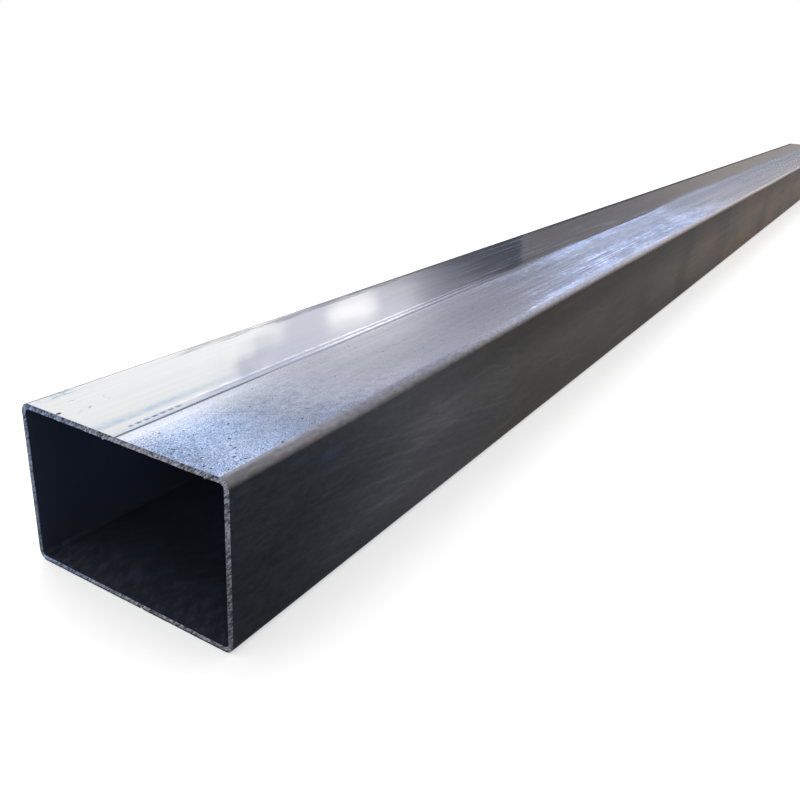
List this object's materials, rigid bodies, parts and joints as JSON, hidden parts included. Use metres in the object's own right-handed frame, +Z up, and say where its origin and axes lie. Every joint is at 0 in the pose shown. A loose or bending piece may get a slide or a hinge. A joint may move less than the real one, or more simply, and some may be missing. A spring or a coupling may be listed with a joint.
{
  "type": "rectangular steel tube",
  "caption": "Long rectangular hollow section of welded steel, rounded along its corners, open and sawn square at both ends, with a planed weld seam along its top face.",
  "frame": {"origin": "on the floor under the middle of the tube: the centre of the bounding box's underside", "axes": "+Y along the tube, with the sawn end that the picture shows at -Y; +X across the wide faces, to the right seen from that end; +Z up, with the weld seam on the top face"},
  "size_m": [0.15, 3, 0.1],
  "materials": {
    "mill_steel": "bare dark mill finish under a thin oil film, lightly scuffed along its length, brighter along the weld and at the sawn ends"
  },
  "bodies": {
    "root": {"tube": "mill_steel"}
  },
  "joints": []
}
